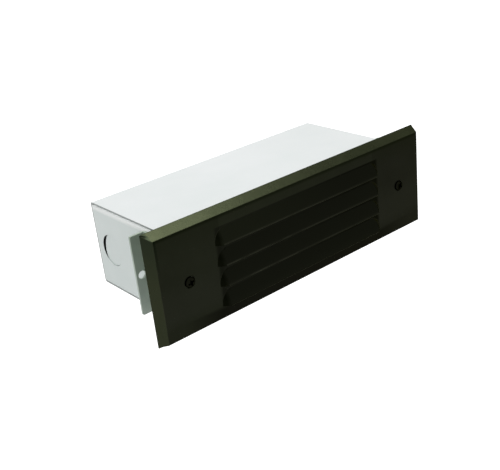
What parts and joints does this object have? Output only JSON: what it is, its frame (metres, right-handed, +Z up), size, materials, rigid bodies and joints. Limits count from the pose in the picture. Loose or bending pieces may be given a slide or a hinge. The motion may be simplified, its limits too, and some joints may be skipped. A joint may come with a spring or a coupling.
{
  "type": "recessed step light",
  "caption": "Recessed step light: pale sheet-metal housing with side ears and pry-outs behind a dark cast faceplate with hooded downward louvres.",
  "frame": {"origin": "middle of the line between the two ear holes, on the ears' front faces", "axes": "+X along the faceplate to the right as seen from the front, +Y into the wall, +Z up"},
  "size_m": [0.2414, 0.1037, 0.077],
  "materials": {
    "housing_paint": "pale grey baked enamel, low sheen",
    "ear_paint": "pale grey baked enamel, low sheen",
    "rivet_steel": "zinc-plated",
    "zinc_steel": "zinc-plated, satin",
    "bronze_paint": "dark bronze powder coat on a casting, low sheen",
    "dark_screw": "blackened, worn at the recess",
    "gasket_rubber": "closed-cell foam rubber",
    "retainer_rubber": "matte",
    "frosted_glass": "frosted",
    "lamp_glass": "clear",
    "bright_aluminium": "bright, specular",
    "holder_ceramic": "white glaze",
    "nickel_shell": "nickel-plated brass",
    "contact_brass": "satin",
    "terminal_brass": "satin",
    "black_glass": "black vitreous insulator",
    "solder": "dull solder",
    "stem_glass": "clear, fused",
    "tungsten": "dull",
    "lead_black": "insulation",
    "lead_white": "insulation",
    "lead_green": "insulation",
    "copper": "bare stranded copper",
    "bushing_plastic": "snap-in",
    "ground_green": "green-dyed zinc plate"
  },
  "bodies": {
    "housing": {"housing_wrap": "housing_paint", "end_cap_left": "housing_paint", "end_cap_right": "housing_paint", "knockout_left": "housing_paint", "knockout_right": "housing_paint", "mounting_ear_left": "ear_paint", "mounting_ear_right": "ear_paint", "ear_rivets": "rivet_steel", "clinch_nuts": "zinc_steel", "reflector": "bright_aluminium", "reflector_posts": "zinc_steel", "reflector_screws": "zinc_steel", "lampholder_bracket": "zinc_steel", "bracket_rivets": "rivet_steel", "lampholder_body": "holder_ceramic", "lampholder_shell": "nickel_shell", "lampholder_contact": "contact_brass", "lampholder_screws": "zinc_steel", "terminal_screws": "terminal_brass", "lead_black": "lead_black", "lead_white": "lead_white", "ground_lead": "lead_green", "lead_ends": "copper", "lead_bushing": "bushing_plastic", "ground_terminal": "zinc_steel", "ground_screw": "ground_green"},
    "faceplate": {"faceplate": "bronze_paint", "faceplate_gasket": "gasket_rubber", "lens": "frosted_glass", "lens_gasket": "gasket_rubber", "lens_clips": "zinc_steel", "lens_clip_screws": "zinc_steel", "screw_retainers": "retainer_rubber"},
    "screw_left": {"faceplate_screw_left": "dark_screw"},
    "screw_right": {"faceplate_screw_right": "dark_screw"},
    "lamp": {"lamp_glass": "lamp_glass", "lamp_base": "nickel_shell", "lamp_insulator": "black_glass", "lamp_contact": "solder", "lamp_stem": "stem_glass", "lamp_filament": "tungsten"}
  },
  "joints": [
    {"name": "faceplate_off", "type": "slide", "parent": "housing", "child": "faceplate", "axis": [0, -1, 0], "range_m": [0, 0.06]},
    {"name": "screw_left_turn", "type": "hinge", "parent": "faceplate", "child": "screw_left", "pos_m": [-0.0956, -0.0314, 0], "axis": [0, -1, 0], "continuous": true},
    {"name": "screw_right_turn", "type": "hinge", "parent": "faceplate", "child": "screw_right", "pos_m": [0.0956, -0.0314, 0], "axis": [0, -1, 0], "continuous": true},
    {"name": "lamp_turn", "type": "hinge", "parent": "housing", "child": "lamp", "pos_m": [0, 0.0027, 0], "axis": [1, 0, 0], "range_deg": [-1710, 0]}
  ]
}
